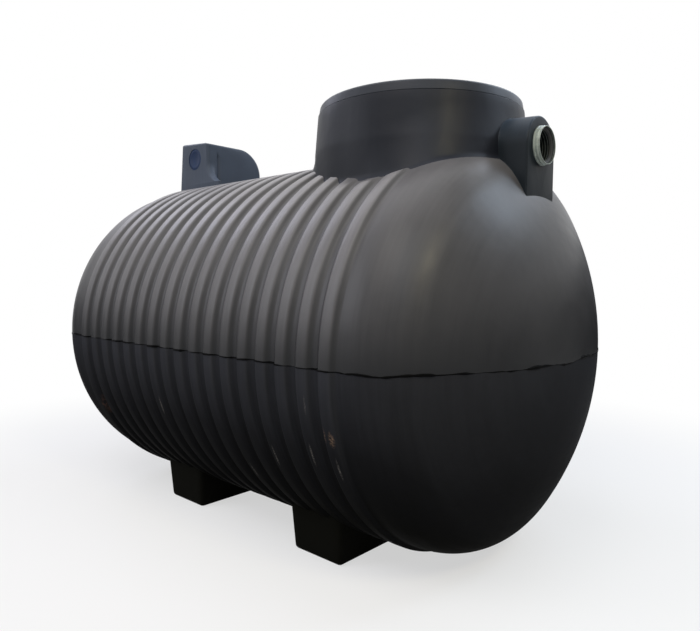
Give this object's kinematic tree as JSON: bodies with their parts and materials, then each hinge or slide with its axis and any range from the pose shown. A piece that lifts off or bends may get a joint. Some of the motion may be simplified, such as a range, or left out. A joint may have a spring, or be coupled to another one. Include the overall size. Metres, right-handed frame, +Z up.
{
  "type": "rainwater tank",
  "caption": "Ribbed horizontal rainwater tank of moulded plastic with domed ends, saddle feet, a manhole neck with lid, an arched pipe inlet and an outlet turret.",
  "frame": {"origin": "on the floor, under the middle of the barrel", "axes": "+X along the barrel towards the inlet end, +Y across it to the back, +Z up"},
  "size_m": [2.47, 1.52, 1.774],
  "materials": {
    "shell": "black rotationally moulded polyethylene with a soft waxy sheen",
    "lid": "black moulded polyethylene, slightly greyer than the shell",
    "socket": "light grey moulded pipe plastic",
    "seal": "black rubber lip seal"
  },
  "bodies": {
    "root": {"barrel_upper_front": "shell", "barrel_crown_front": "shell", "barrel_crown_back": "shell", "barrel_upper_back": "shell", "barrel_lower_back": "shell", "barrel_keel_back": "shell", "barrel_keel_front": "shell", "barrel_lower_front": "shell", "inlet_end_upper_front": "shell", "inlet_end_upper_back": "shell", "inlet_end_lower_back": "shell", "inlet_end_lower_front": "shell", "far_end_upper_front": "shell", "far_end_upper_back": "shell", "far_end_lower_back": "shell", "far_end_lower_front": "shell", "neck_inlet_back": "shell", "neck_barrel_back": "shell", "neck_barrel_front": "shell", "neck_inlet_front": "shell", "neck_shoulder": "shell", "access_lid": "lid", "inlet_hood": "shell", "inlet_plate": "shell", "inlet_socket": "socket", "inlet_seal": "seal", "outlet_turret": "shell", "outlet_pad": "shell", "inlet_foot": "shell", "far_foot": "shell"}
  },
  "joints": []
}
